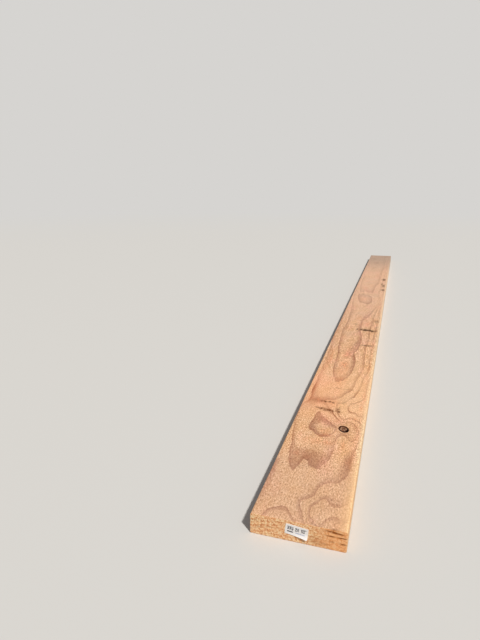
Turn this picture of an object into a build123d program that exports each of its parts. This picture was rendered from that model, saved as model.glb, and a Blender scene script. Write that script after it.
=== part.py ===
from build123d import *
import os

# A dressed softwood plank with its end tag, lying flat.
# +Y runs along the plank, away from its tagged end; +X is across it and +Z is up.
# The origin is on the underside, at the middle of the plank. All sizes are in millimetres.

# The stock
plank_length = 4200.0
plank_width = 190.0
plank_thickness = 45.0
arris_radius = 3.0

# The dead knot in the upper face, placed from the tagged end and from the right-hand edge
knot_from_end = 412.0
knot_from_edge = 52.0
knot_across = 28.0
knot_along = 40.0
knot_turn = 17.0
knot_dish_depth = 1.0
knot_dish_slope = 1.0
bark_gap_inset = 1.5
bark_gap_across = 1.0
bark_gap_along = 5.0
bark_gap_depth = 6.0

# The tag on the end grain
tag_width = 45.0
tag_height = 22.0
tag_thickness = 0.4
tag_corner_radius = 1.5
tag_from_left = 93.5
tag_above_underside = 25.5
tag_tilt = -6.0
curl_radius = 15.0
curl_line_turn = 13.0
curl_line_above_edge = 6.5

# The two staples that hold the tag
staple_crown = 11.0
staple_leg = 8.0
staple_bend_radius = 0.4
wire_width = 0.8
wire_thickness = 0.5
staple_spacing = 27.0
staple_below_edge = 4.5
leg_clearance = 0.05

end_face_y = -plank_length / 2
tag_place = Plane(
    origin=(tag_from_left - plank_width / 2, end_face_y, tag_above_underside),
    x_dir=(1, 0, 0),
    z_dir=(0, -1, 0),
).location * Rot(0, 0, tag_tilt)
staple_places = [
    tag_place * Pos(side * staple_spacing / 2, tag_height / 2 - staple_below_edge)
    for side in (-1, 1)
]


def staple_wire(place):
    """One staple: its crown lies on the tag and its legs go into the end grain."""
    crown_middle = tag_thickness + staple_bend_radius
    half_span = (staple_crown - wire_thickness) / 2
    leg_tip = tag_thickness - staple_leg
    path = FilletPolyline(
        (-half_span, 0, leg_tip),
        (-half_span, 0, crown_middle),
        (half_span, 0, crown_middle),
        (half_span, 0, leg_tip),
        radius=staple_bend_radius,
    )
    section = Plane(origin=path @ 0, z_dir=path % 0, x_dir=(1, 0, 0)) * Rectangle(
        wire_thickness, wire_width
    )
    return place * sweep(section, path=path)


def leg_slots(place, from_depth, to_depth):
    """Slots for both legs of a staple, between two depths measured outwards from the end face."""
    half_span = (staple_crown - wire_thickness) / 2
    opening = Rectangle(
        wire_thickness + 2 * leg_clearance, wire_width + 2 * leg_clearance
    )
    slot = extrude(opening, to_depth - from_depth)
    return [place * Pos(side * half_span, 0, from_depth) * slot for side in (-1, 1)]


def dead_knot():
    """What is missing at the knot: a shallow dish, and a crescent where its bark has fallen out."""
    rim = Ellipse(knot_across / 2, knot_along / 2)
    dish_floor = Pos(0, 0, -knot_dish_depth) * Ellipse(
        knot_across / 2 - knot_dish_slope, knot_along / 2 - knot_dish_slope
    )
    bark = Ellipse(knot_across / 2 - bark_gap_inset, knot_along / 2 - bark_gap_inset)
    kept_wood = Pos(-bark_gap_across, bark_gap_along) * bark
    knot_x = plank_width / 2 - knot_from_edge
    knot_y = end_face_y + knot_from_end
    place = Pos(knot_x, knot_y, plank_thickness) * Rot(0, 0, knot_turn)
    dish = loft([rim, dish_floor], ruled=True)
    bark_gap = extrude(bark - kept_wood, -bark_gap_depth)
    return [place * dish, place * bark_gap]


def sawn_plank():
    """The stock with its four arrises eased, docked square at both ends."""
    section_plane = Plane(
        origin=(0, plank_length / 2, plank_thickness / 2),
        x_dir=(1, 0, 0),
        z_dir=(0, -1, 0),
    )
    section = RectangleRounded(plank_width, plank_thickness, arris_radius)
    stock = extrude(section_plane * section, plank_length)
    for cut in dead_knot():
        stock -= cut
    for place in staple_places:
        depth = staple_leg - tag_thickness + leg_clearance
        for slot in leg_slots(place, -depth, 0):
            stock -= slot
    return stock


def end_tag():
    """A thin card, flat where it is stapled and curling off the wood below a slanting line."""
    curl_line = (
        tag_place
        * Pos(0, curl_line_above_edge - tag_height / 2)
        * Rot(0, 0, curl_line_turn)
    )
    across_curl = Plane(origin=(0, 0, 0), x_dir=(0, 1, 0), z_dir=(1, 0, 0))
    profile_place = curl_line * across_curl.location
    reach = tag_width + tag_height
    flat = Pos(reach / 2, tag_thickness / 2) * Rectangle(reach, tag_thickness)
    roll = Circle(curl_radius) - Circle(curl_radius - tag_thickness)
    quarter = Rectangle(curl_radius, curl_radius, align=(Align.MAX, Align.MIN))
    curl = (Pos(0, curl_radius) * roll) & quarter
    sheet = extrude(profile_place * (flat + curl), reach, both=True)
    outline = RectangleRounded(tag_width, tag_height, tag_corner_radius)
    blank = extrude(tag_place * outline, curl_radius)
    tag = sheet & blank
    for place in staple_places:
        for slot in leg_slots(place, -tag_thickness, 2 * tag_thickness):
            tag -= slot
    return tag


pieces = {"plank": sawn_plank(), "end_tag": end_tag()}
for side, place in zip(("left", "right"), staple_places):
    pieces[f"staple_{side}"] = staple_wire(place)

os.makedirs("parts", exist_ok=True)
for name, piece in pieces.items():
    export_step(piece, f"parts/{name}.step")
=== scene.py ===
import math

import bmesh
import bpy
import numpy as np
from bpy.props import FloatProperty, FloatVectorProperty, PointerProperty
from mathutils import Matrix, Vector


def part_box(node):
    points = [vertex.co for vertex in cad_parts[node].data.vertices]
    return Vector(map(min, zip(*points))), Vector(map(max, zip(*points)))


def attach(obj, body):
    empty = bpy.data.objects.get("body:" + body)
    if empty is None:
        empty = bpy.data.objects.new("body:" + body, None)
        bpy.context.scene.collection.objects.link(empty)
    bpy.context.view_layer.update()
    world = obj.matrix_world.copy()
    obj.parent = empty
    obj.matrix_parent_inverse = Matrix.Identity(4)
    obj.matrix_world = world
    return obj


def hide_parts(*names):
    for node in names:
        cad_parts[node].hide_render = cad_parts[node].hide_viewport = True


bl_info = {
    "name": "Timber Plank",
    "version": (1, 0, 0),
    "blender": (4, 5, 0),
    "location": "3D View > Sidebar > Timber Plank",
    "description": "Models and finishes a dressed softwood plank with its stapled end tag",
    "category": "Object",
}

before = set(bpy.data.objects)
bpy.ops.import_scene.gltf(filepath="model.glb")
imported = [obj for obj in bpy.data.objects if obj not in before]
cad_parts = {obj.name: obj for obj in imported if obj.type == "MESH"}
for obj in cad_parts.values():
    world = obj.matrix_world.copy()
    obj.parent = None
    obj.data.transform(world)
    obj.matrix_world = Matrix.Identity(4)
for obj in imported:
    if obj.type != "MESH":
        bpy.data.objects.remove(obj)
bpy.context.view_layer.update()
plank_low, plank_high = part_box("plank")

MM = 0.001
PLANK_WIDTH = plank_high.x - plank_low.x
PLANK_LENGTH = plank_high.y - plank_low.y
PLANK_THICKNESS = plank_high.z - plank_low.z

# Places on the plank are in mm: across from its left edge, along from its tagged end, and
# depth below its upper face.
PITH_ACROSS = 78.0
PITH_DEPTH = 260.0
RING_SPACING = 7.0
# The depth over which the traced waves of the rings die away
FADE_DEPTH = 30.0
# How far the rings are closed up along the plank, and from where
CLOSED_UP, CLOSED_UP_FROM = 300.0, 500.0
# How freely the surface of the rings may pass by the traces
TRACE_SOFTNESS = 3.0
# Where in a ring its latewood starts, is full, and ends
LATEWOOD_START, LATEWOOD_FULL, LATEWOOD_END = 0.50, 0.95, 0.98
# Where in a ring the thin line along its outer edge starts, and is full
EDGE_START, EDGE_FULL = 0.89, 0.965

# Where the rings' edges cross the upper face, as traced: the number of the ring, counted
# outwards, then places across and along. A fraction is a place inside a ring.
RING_TRACES = (
    ("left lobe and notch", 0.99,
     (22, 262), (25, 240), (29, 215), (35, 200), (40, 188), (43, 176), (50, 174), (54, 183),
     (57, 197), (61, 220), (65, 232), (69, 238)),
    ("middle lobe", 0.99,
     (72, 235), (75, 222), (80, 210), (88, 200), (96, 196), (104, 200), (108, 210), (113, 218),
     (118, 223), (121, 240), (124, 265)),
    ("left side, first", 1.0,
     (20, 300), (13, 340), (7, 390), (3, 450), (1, 500), (2, 535), (9, 556), (16, 575), (17, 600),
     (12, 640), (13, 700), (14, 760), (14, 830), (11, 900), (9, 960), (10, 1040), (8, 1140),
     (3, 1210), (-3, 1290)),
    ("under the knot", 1.0,
     (127, 295), (125, 330), (129, 360), (138, 375), (148, 368), (157, 351), (168, 348),
     (176, 370), (179, 400)),
    ("ear", 1.0,
     (175, 425), (167, 443), (157, 457), (146, 459), (135, 453), (125, 455), (117, 468),
     (108, 485), (99, 503), (89, 525), (77, 550), (67, 568)),
    ("great arc", 1.0,
     (68, 585), (80, 588), (93, 597), (104, 612), (114, 635), (125, 660), (135, 683), (140, 720),
     (142, 760), (147, 810), (154, 860), (158, 905), (156, 950), (153, 1000), (150, 1050),
     (149, 1120), (152, 1200), (153, 1300), (151, 1420), (154, 1550), (157, 1700), (163, 1850),
     (172, 2000)),
    ("ridge", 0.87, (26, 575), (40, 577), (54, 577)),
    ("right lobe", 2.0,
     (178, 310), (176, 270), (176, 230), (173, 200), (168, 182), (161, 163), (154, 152),
     (147, 149), (138, 150), (127, 143), (119, 132), (114, 112), (109, 90), (99, 80), (90, 71),
     (88, 60), (93, 45), (100, 25), (107, 5)),
    ("right side, second", 2.0,
     (183, 350), (187, 400), (186, 440), (177, 462), (164, 475), (153, 484), (144, 484),
     (136, 471), (127, 471), (120, 483), (113, 503), (106, 530), (104, 553), (110, 572),
     (121, 580), (131, 597), (141, 622), (150, 650), (157, 680), (161, 720), (163, 770),
     (168, 820), (175, 870), (179, 910), (176, 960), (173, 1030), (173, 1130), (176, 1200),
     (174, 1300), (175, 1420), (179, 1550), (182, 1700)),
    ("loop by the edge", 3.0,
     (190, 520), (180, 507), (171, 506), (163, 517), (153, 521), (144, 527), (138, 545),
     (139, 562), (147, 578), (158, 592), (169, 604), (178, 630), (181, 680), (184, 760),
     (190, 840)),
    ("blob", 3.0,
     (190, 100), (176, 80), (166, 69), (157, 65), (148, 71), (140, 83), (132, 90), (125, 80),
     (118, 65), (112, 45), (113, 30), (122, 16), (131, 4)),
    ("right arc", 3.0,
     (137, 4), (143, 20), (150, 32), (157, 39), (165, 38), (173, 33), (181, 34), (189, 39)),
    ("left arc", 1.0,
     (23, 3), (27, 18), (34, 29), (44, 35), (52, 42), (60, 43), (67, 37), (74, 26), (81, 14),
     (88, 4)),
    ("triangle", 0.0,
     (56, 503), (62, 500), (69, 485), (79, 467), (91, 452), (102, 442), (111, 430), (118, 415),
     (120, 400), (116, 383), (108, 366), (98, 353), (87, 350), (77, 357), (66, 368), (56, 377),
     (48, 392), (44, 410), (48, 430), (51, 455), (52, 485)),
    ("tongue, left", 0.0,
     (74, 748), (66, 780), (59, 810), (53, 850), (50, 890), (49, 940), (49, 1000), (46, 1060),
     (41, 1110), (36, 1180), (33, 1250), (30, 1330), (29, 1420), (34, 1510), (34, 1570),
     (31, 1660), (28, 1780), (23, 1900), (16, 2050), (11, 2250), (6, 2500), (4, 2800), (5, 3100),
     (2, 3500), (4, 3900), (2, 4200)),
    ("tongue, right", 0.0,
     (82, 742), (92, 752), (101, 768), (110, 795), (118, 825), (122, 870), (124, 930), (121, 990),
     (115, 1035), (109, 1060), (113, 1083), (120, 1110), (122, 1170), (124, 1230), (121, 1290),
     (116, 1350), (109, 1390), (107, 1450), (106, 1520), (107, 1580), (115, 1620), (128, 1660),
     (135, 1710), (142, 1770), (149, 1830), (156, 1900), (165, 1990), (170, 2090), (163, 2170),
     (156, 2250), (158, 2380), (164, 2550), (166, 2800), (168, 3100), (174, 3400), (172, 3800),
     (168, 4200)),
    ("far oval", -1.0,
     (32, 2190), (38, 2130), (46, 2070), (53, 2020), (63, 2000), (78, 1990), (92, 1970),
     (105, 1960), (116, 1985), (126, 2030), (123, 2090), (118, 2150), (110, 2200), (96, 2220),
     (84, 2215), (70, 2235), (58, 2250), (44, 2235)),
    ("far field, left", -1.0,
     (45, 2305), (33, 2340), (27, 2440), (22, 2560), (18, 2700), (21, 2880), (16, 3000),
     (13, 3150), (18, 3400), (15, 3800), (17, 4200)),
    ("far field, right", -1.0,
     (62, 2310), (80, 2320), (100, 2310), (115, 2290), (121, 2330), (121, 2450), (125, 2540),
     (134, 2600), (141, 2680), (140, 2820), (143, 2970), (142, 3150), (149, 3320), (155, 3420),
     (150, 3600), (152, 3800), (143, 3950), (146, 4200)),
    # Shades inside the rings
    ("late in the lobes", 0.86, (42, 240), (50, 210), (95, 235), (108, 240)),
    ("earlier in the lobes", 0.8, (45, 268), (90, 270)),
    ("above the lobes", 0.42, (40, 307), (80, 307), (105, 307)),
    ("by the triangle", 0.3, (35, 380), (33, 450), (40, 500), (90, 475), (108, 455), (65, 530)),
    ("toward the left side", 0.75, (12, 420), (11, 500), (20, 345)),
    ("triangle, inside", -0.75, (80, 400), (95, 400), (108, 400)),
    ("triangle, dark", -0.14,
     (61, 480), (68, 452), (84, 439), (96, 429), (107, 412), (53, 420), (56, 400), (66, 385),
     (90, 364)),
    ("ear, inside", 0.62, (165, 400), (160, 380), (158, 430)),
    ("great arc, inside", 0.25, (50, 650), (80, 650), (80, 700), (60, 700), (40, 750), (110, 720)),
    ("great arc, dark", 0.8, (110, 645), (124, 685), (22, 660), (23, 720)),
    ("between arcs", 1.25, (113, 598), (135, 650), (150, 720), (90, 550), (100, 535)),
    ("strip by the lobes", 1.22, (70, 190), (62, 150), (85, 150), (122, 235), (40, 110), (30, 140)),
    ("towards the right lobe", 1.6, (152, 230), (149, 205), (140, 180), (153, 260), (105, 125)),
    ("right lobe, dark", 1.88, (164, 270), (164, 240), (162, 200), (155, 172)),
    ("inside the right lobe", 1.25, (137, 230), (130, 200), (138, 260), (115, 180)),
    ("middle near the end", 1.45, (55, 70), (30, 70), (75, 60), (90, 100)),
    ("left edge near the end", 1.7, (2, 50), (2, 120), (1, 190)),
    ("left of the tail", 1.7, (83, 50), (92, 25)),
    ("under the left arc", 0.22, (55, 5), (40, 5), (70, 5)),
    ("after the right lobe", 2.2,
     (100, 55), (103, 35), (128, 120), (145, 130), (168, 135), (182, 170), (115, 85)),
    ("blob, dark", 2.78, (146, 90), (155, 82), (163, 85), (107, 50), (116, 74)),
    ("blob, top", 2.5, (150, 110), (165, 105)),
    ("inside the blob line", 3.2, (125, 50), (140, 55), (160, 52), (180, 55), (125, 30)),
    ("under the right arc", 2.3, (160, 8), (178, 8), (150, 8)),
    ("red column", 1.5, (146, 310)),
    ("right of the column", 1.35, (165, 320)),
    ("beside the loop", 2.2,
     (125, 530), (125, 560), (132, 500), (155, 500), (175, 485), (150, 605), (170, 660),
     (165, 630)),
    ("inside the loop", 3.25, (160, 550), (178, 550), (185, 620)),
    ("tongue, inside", -0.72, (82, 860), (80, 930), (75, 1000), (65, 1080)),
    ("tongue, dark tip", -0.12,
     (69, 795), (76, 775), (88, 775), (101, 790), (112, 830), (115, 880), (116, 940), (112, 1000)),
    ("tongue, inside of its dark band", -0.4,
     (78, 812), (94, 814), (103, 845), (104, 900), (104, 970), (97, 1030)),
    ("tongue waist", -0.22, (92, 1070), (100, 1100), (110, 1140), (105, 1190)),
    ("tongue, middle", -0.62,
     (58, 1200), (65, 1320), (88, 1240), (60, 1450), (80, 1400), (60, 1600), (85, 1600),
     (75, 1750), (110, 1800), (125, 1880)),
    ("tongue waist, second", -0.28, (98, 1500), (110, 1300)),
    ("left of the tongue", 0.35, (38, 840), (40, 920), (36, 1000), (30, 1100)),
    ("left, pink", 0.8, (20, 900), (21, 970), (21, 1050), (19, 800)),
    ("right of the tongue", 0.3,
     (132, 850), (136, 930), (132, 1020), (132, 1120), (136, 1250), (125, 1450), (130, 1550)),
    ("towards the great arc", 0.68, (146, 880), (146, 970), (144, 1100), (146, 1300), (145, 1500)),
    ("right strip", 1.35, (166, 900), (163, 1050), (163, 1200), (163, 1400), (167, 1600)),
    ("left strip", 0.55, (14, 1300), (14, 1500), (12, 1700), (8, 1900)),
    ("far oval, inside", -1.45, (70, 2110), (90, 2090)),
    ("around the far oval", -0.65, (85, 1880), (60, 1930), (140, 2050), (135, 2180), (25, 2250)),
    ("between the far oval and field", -0.85, (75, 2275), (100, 2265), (45, 2270)),
    ("far field, inside", -1.5,
     (60, 2500), (90, 2500), (75, 2750), (105, 2800), (75, 3100), (110, 3100), (70, 3500),
     (110, 3500), (80, 3900), (110, 4100)),
    ("past the right edge", 3.6, (200, 300), (200, 700), (200, 1100)),
    ("past the right edge, far", 2.4, (200, 1600), (200, 2400), (200, 3300), (200, 4200)),
)

# The dead knot, and the crescent where its bark has fallen out
KNOT_ACROSS, KNOT_ALONG = 138.0, 412.0
KNOT_HALF_ACROSS, KNOT_HALF_ALONG = 14.0, 20.0
KNOT_TURN = math.radians(17)
KNOT_SLANT = 0.25
KNOT_DISH_DEPTH = 1.0
KNOT_DISH_SLOPE = 1.0
BARK_INSET = 1.5
BARK_GAP_ACROSS, BARK_GAP_ALONG = 1.0, 5.0
BARK_GAP_DEPTH = 6.0

# The rows of the plank's grid: start and end of a stretch, and its longest step
STRETCHES = (
    (4, 100, 3),
    (100, 380, 6),
    (380, 456, 3),
    (456, 1120, 7.95),
    (1120, 2600, 15),
    (2600, PLANK_LENGTH / MM - 4, 20),
)
ACROSS_CUTS, DEPTH_CUTS = 63, 14
END_BEVEL = 0.4 * MM
# In the knot's own radii: how far out the grid is finer, and how far the grain lies flat
FINER_REACH, FLAT_REACH = 1.25, 1.05
# Vertices nearer than this, in m, count as being in the same place
NEARLY = 1e-5
DISPLACE_STEPS = 50
SMOOTH_ANGLE = math.radians(32)

# Stains and marks on the upper face: across, along, half across, half along, strength
MARKS = (
    ("smear past the knot", 84, 518, 9, 10, 0.75),
    ("smear, lower", 93, 511, 7, 8, 0.95),
    ("smear, middle", 73, 517, 7, 8, 1.1),
    ("smear, left part", 62, 523, 8, 7, 1.3),
    ("smear, left tip", 50, 527, 7, 4, 1.3),
    ("smear, right part", 107, 525, 6, 11, 0.9),
    ("smear, right end", 114, 512, 4, 9, 1.0),
    ("smudge past the smear", 112, 535, 3, 12, 0.4),
    ("speck on the ridge", 67, 572, 4, 4, 1.3),
    ("left of the speck", 57, 577, 8, 4, 0.6),
    ("second speck", 79, 577, 2.5, 5, 0.8),
    ("third speck", 89, 571, 5, 3, 1.1),
    ("speck past the knot", 118, 574, 4, 4, 0.4),
    ("second speck past the knot", 124, 582, 3, 5, 0.4),
    ("ridge", 38, 577, 22, 16, 0.34),
    ("ridge, right", 76, 576, 20, 7, 0.5),
    ("scratch inside the arc", 112, 687, 46, 2.2, 0.4),
    ("dash inside the arc", 87, 692, 5, 3, 0.5),
    ("fine scratch", 70, 200.5, 13, 1.2, 0.55),
    ("far end of the scratch", 58, 196, 2.5, 3, 0.6),
    ("dent by the left edge", 11, 194, 2.5, 4, 0.5),
    ("speck on the great arc", 134, 688, 4, 5, 0.5),
    ("drag mark", 127, 1414, 10, 13, 2.6),
    ("drag mark, middle", 144, 1416, 10, 10, 1.7),
    ("drag mark, right part", 159, 1404, 7, 13, 2.0),
    ("drag mark, right end", 174, 1408, 7, 15, 1.0),
    ("drag mark, left part", 109, 1419, 5, 14, 1.2),
    ("drag mark, left tip", 92, 1418, 3, 11, 1.4),
    ("faint drag mark", 150, 1177, 22, 9, 1.1),
    ("side of the block", 156, 1525, 2, 40, 0.5),
    ("resin by the end", 165, 1.5, 8, 2.5, 0.6),
    ("block by the edge", 170, 1583, 9, 20, 0.85),
    ("foot of the block", 176, 1470, 4, 20, 0.5),
    ("speck in the tongue", 81, 1505, 5, 14, 0.45),
    ("far smudge", 172, 2407, 10, 23, 1.5),
    ("far smudge, middle", 172, 2555, 8, 45, 1.1),
    ("far smudge, dot", 159, 2615, 4, 35, 1.2),
    ("far smudge, top", 167, 2800, 10, 36, 1.5),
    ("grey patch", 80, 3660, 22, 45, 0.25),
    ("second grey patch", 45, 3930, 18, 35, 0.25),
    ("third grey patch", 73, 3360, 11, 30, 0.25),
)

# Redder wood on the upper face: across, along, half across, half along, strength
WARM_PATCHES = (
    ("ridge", 38, 577, 28, 22, 1.4),
    ("left of the great arc", 20, 665, 5, 66, 0.7),
    ("foot of the triangle", 93, 361, 15, 10, 1.2),
    ("past the lobes, right", 108, 326, 20, 14, 0.3),
    ("inside the triangle", 84, 382, 16, 16, 0.9),
    ("over the triangle", 108, 445, 16, 16, 0.5),
    ("ridge, right", 86, 570, 16, 20, 0.5),
    ("great arc, foot", 88, 755, 24, 30, 0.5),
    ("triangle", 72, 450, 16, 30, 0.35),
    ("red column", 146, 322, 6, 26, 0.55),
    ("past the lobes", 70, 325, 45, 18, 0.45),
    ("beside the knot", 168, 425, 9, 22, 0.6),
    ("line to the knot", 118, 462, 10, 12, 0.45),
    ("right side", 177, 643, 6, 34, 1.5),
    ("right side, further", 174, 740, 9, 50, 0.4),
    ("past the loop's foot", 162, 477, 14, 14, 0.8),
    ("near right", 170, 15, 12, 15, 0.6),
    ("right lobe", 168, 245, 8, 22, 0.4),
    ("inside the loop", 172, 552, 5, 16, 1.4),
    ("left lobe", 48, 255, 22, 12, 0.5),
    ("corner", 182, 30, 9, 10, 0.6),
    ("tongue", 84, 900, 20, 70, 0.8),
    ("tongue, waist", 84, 1060, 16, 70, 0.7),
    ("left strip", 26, 990, 9, 110, 0.8),
    ("right strip", 174, 900, 5, 60, 0.5),
    ("middle", 45, 1270, 12, 40, 0.35),
    ("by the block", 132, 1525, 11, 45, 0.7),
    ("middle, upper", 82, 1640, 14, 60, 0.4),
    ("far oval", 70, 2100, 24, 60, 0.5),
    ("far middle", 60, 2450, 20, 60, 0.4),
    ("far right", 118, 3000, 14, 120, 0.4),
)

# Greyer, mauve wood on the upper face, in the same order
MAUVE_PATCHES = (
    ("left edge by the end", 4, 160, 9, 70, 2.4),
    ("left edge", 4, 440, 6, 80, 0.2),
    ("right lobe", 165, 205, 13, 50, 2.6),
    ("left lobe", 45, 215, 14, 35, 0.5),
    ("middle lobe", 95, 230, 20, 25, 0.5),
    ("triangle", 78, 452, 16, 16, 0.8),
    ("triangle, right", 102, 427, 13, 15, 0.9),
    ("triangle, left", 53, 395, 9, 16, 0.7),
    ("past the smear", 76, 545, 8, 14, 1.0),
    ("left of the great arc", 18, 665, 6, 80, 0.9),
    ("blob", 150, 88, 17, 20, 0.7),
    ("past the ridge", 72, 597, 20, 10, 0.5),
    ("by the drag mark", 98, 1470, 8, 35, 1.0),
    ("left of the tongue", 12, 1420, 14, 300, 0.6),
    ("notch", 68, 212, 8, 16, 1.1),
    ("inside the triangle", 88, 392, 16, 16, 0.5),
    ("left arc", 50, 20, 18, 14, 0.5),
    ("tongue, waist", 85, 1050, 18, 55, 0.6),
)

# Yellower wood on the upper face, in the same order
OLIVE_PATCHES = (
    ("left of the triangle", 42, 480, 12, 35, 0.8),
    ("inside the triangle", 96, 392, 15, 14, 0.9),
    ("past the knot", 122, 560, 14, 30, 0.7),
    ("inside the great arc", 100, 628, 24, 16, 0.6),
    ("past the lobes", 25, 385, 12, 25, 0.4),
    ("beside the knot", 120, 388, 8, 10, 0.6),
    ("middle", 75, 130, 26, 35, 0.4),
    ("left of the drag mark", 74, 1430, 8, 45, 0.8),
)

# Where the rings hardly show, in the same order
QUIET_PLACES = (
    ("right of the blob", 184, 88, 13, 22, 0.9),
    ("under the knot", 125, 325, 16, 30, 0.6),
    ("right of the knot", 183, 420, 12, 60, 0.6),
    ("left side", 8, 470, 15, 140, 0.85),
    ("right side, middle", 177, 1620, 8, 200, 0.7),
    ("left side, past the ridge", 8, 960, 13, 150, 0.9),
    ("left of the tongue", 16, 1400, 26, 480, 0.5),
    ("past the knot", 122, 565, 14, 40, 0.4),
    ("past the smear", 76, 550, 9, 18, 0.8),
    ("under the ear", 155, 360, 24, 22, 0.4),
    ("between the arcs", 132, 620, 9, 26, 1.0),
    ("left lobe", 44, 235, 18, 30, 0.25),
)

# Where the rings' edges stand out most, in the same order
STRONG_EDGES = (
    ("line to the knot", 110, 483, 14, 28, 3.2),
    ("loop by the edge", 148, 533, 18, 24, 1.9),
    ("loop, far side", 160, 592, 18, 16, 0.9),
    ("great arc", 122, 655, 18, 34, 0.6),
    ("second arc", 147, 645, 16, 50, 1.2),
    ("left of the great arc", 14, 665, 8, 80, 1.4),
)

# Resin in the docked end: across, depth, half across, half depth, strength
RESIN = (
    ("top edge dash", 164, 0.8, 9, 1.0, 0.9),
    ("upper dash", 160, 4.8, 12, 1.3, 1.3),
    ("upper dash, under", 168, 7.0, 10, 1.4, 1.3),
    ("upper dash, right", 178, 7.4, 6, 1.2, 1.0),
    ("right of the tag", 130, 25.0, 12, 3.0, 0.35),
    ("low, right of the tag", 133, 35.0, 16, 6.0, 0.45),
    ("second dash", 159, 15.4, 8, 1.5, 1.3),
    ("second dash, right", 181, 15.2, 9, 1.3, 1.5),
    ("third dash", 162, 27.0, 4, 1.3, 1.0),
    ("third dash, right", 183, 28.2, 7, 1.5, 1.2),
    ("low dash", 150, 36.0, 6, 1.6, 0.3),
    ("left streak", 10, 13.0, 11, 1.4, 0.5),
    ("left streak, low", 17, 26.5, 8, 1.5, 0.5),
    ("left streak, middle", 37, 23.0, 8, 1.3, 0.55),
)

# The tag on the near end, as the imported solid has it
TAG_WIDTH, TAG_HEIGHT, TAG_THICKNESS = 45 * MM, 22 * MM, 0.4 * MM
TAG_CORNER = 1.5 * MM
TAG_MIDDLE = Vector((-1.5 * MM, plank_low.y, 25.5 * MM))
TAG_TILT = math.radians(-6)
# Its generic print, in mm from its lower left corner: the left edges of its tall blocks, with
# their width, bottom and top, then the left, right, bottom and top of a bar and a row of dashes
BLOCKS = (4.5, 8.6, 12.7, 19.6, 23.7, 31.2, 35.3)
BLOCK_WIDTH, BLOCK_BOTTOM, BLOCK_TOP = 3.3, 9.8, 17.4
DARK_BAR = (4.5, 16.0, 5.0, 7.4)
DASHES = (20.5, 39.0, 5.2, 7.2)
PRINT_BLUR = 0.1
CURL_RADIUS = 15 * MM
CURL_LINE_TURN = math.radians(13)
CURL_LINE_UP = -4.5 * MM

# The floor and its fade into the background, in m
FLOOR_RADIUS, FLOOR_DROP = 60.0, 0.2 * MM
FADE_START, FADE_END = 3.5, 14.0
SKY_COLOUR = (0.97, 0.985, 1.0, 1.0)
KEY_COLOUR = (1.0, 0.975, 0.93)
KEY_ANGLE = math.radians(4)
TOWARDS_KEY = Vector((0.46, -0.45, 0.765))
CAMERA_PLACE = (0.1393, -2.8965, 0.6593)
CAMERA_DOWN, CAMERA_LEFT = 14.84, 17.78
CAMERA_LENS, SENSOR_WIDTH = 27.31, 36


def tone(red, green, blue):
    """A colour as it looks on screen, 0 to 255, as the linear colour that Blender wants."""
    shares = [value / 255 for value in (red, green, blue)]
    return [c / 12.92 if c <= 0.04045 else ((c + 0.055) / 1.055) ** 2.4 for c in shares]


# The shape of the rings, in numbers


def smooth_step(low, high, value):
    t = np.clip((value - low) / (high - low), 0, 1)
    return t * t * (3 - 2 * t)


def natural_level(across, depth):
    """The number of the ring where the stem is a plain round one."""
    from_pith = np.hypot(across - PITH_ACROSS, PITH_DEPTH - depth)
    return (from_pith - PITH_DEPTH) / RING_SPACING


def flat_places(across, along):
    """Places on the face, closed up with distance, as the rings grow longer that way."""
    closed_up = CLOSED_UP * np.log(1 + along / CLOSED_UP_FROM)
    return np.stack([across, closed_up], -1)


def thin_plate(places, centres):
    """How much each centre bends the surface at each place."""
    square = np.square(places[:, None] - centres[None]).sum(-1)
    return 0.5 * square * np.log(np.maximum(square, 1e-9))


def face_surface():
    """Fits a thin-plate surface to the traces; returns it as a function of flat places."""
    levels = np.array([level for _, level, *places in RING_TRACES for _ in places])
    traced = np.array([place for _, _, *places in RING_TRACES for place in places])
    centres = flat_places(*traced.T)
    count = len(centres)
    tilt = np.column_stack([np.ones(count), centres])
    system = np.zeros((count + 3, count + 3))
    system[:count, :count] = thin_plate(centres, centres) + TRACE_SOFTNESS * np.eye(count)
    system[:count, count:] = tilt
    system[count:, :count] = tilt.T
    weights = np.linalg.solve(system, np.append(levels, np.zeros(3)))

    def surface(places):
        bent = thin_plate(places, centres) @ weights[:count]
        return bent + weights[count] + places @ weights[count + 1 :]

    return surface


def ring_levels(across, along, depth, parts=40):
    """The number of the ring at each place, with the place inside it as its fraction.

    The places are taken in parts, to spare memory.
    """
    surface = face_surface()
    places = np.array_split(flat_places(across, along), parts)
    traced = np.concatenate([surface(part) for part in places])
    waves = traced - natural_level(across, 0.0)
    return natural_level(across, depth) + waves * np.exp(-depth / FADE_DEPTH)


def latewood(level):
    """How dark a ring is: it darkens outwards and ends sharply."""
    phase = level % 1.0
    darkened = smooth_step(LATEWOOD_START, LATEWOOD_FULL, phase)
    return darkened * (1 - smooth_step(LATEWOOD_END, 1.0, phase))


def knot_offset(across, along):
    """Place from the knot's middle, in the knot's own turned directions."""
    x, y = across - KNOT_ACROSS, along - KNOT_ALONG
    turn_cos, turn_sin = math.cos(KNOT_TURN), math.sin(KNOT_TURN)
    return x * turn_cos + y * turn_sin, y * turn_cos - x * turn_sin


# Node trees, written as sums


class Wire:
    """A socket to calculate with: each sign adds one Math node."""

    def __init__(self, nodes, socket):
        self.nodes, self.socket = nodes, socket

    def __add__(self, other):
        return self.nodes.math("ADD", self, other)

    def __radd__(self, other):
        return self.nodes.math("ADD", other, self)

    def __sub__(self, other):
        return self.nodes.math("SUBTRACT", self, other)

    def __rsub__(self, other):
        return self.nodes.math("SUBTRACT", other, self)

    def __mul__(self, other):
        return self.nodes.math("MULTIPLY", self, other)

    def __truediv__(self, other):
        return self.nodes.math("DIVIDE", self, other)

    def __rtruediv__(self, other):
        return self.nodes.math("DIVIDE", other, self)

    def __pow__(self, other):
        return self.nodes.math("POWER", self, other)


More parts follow.
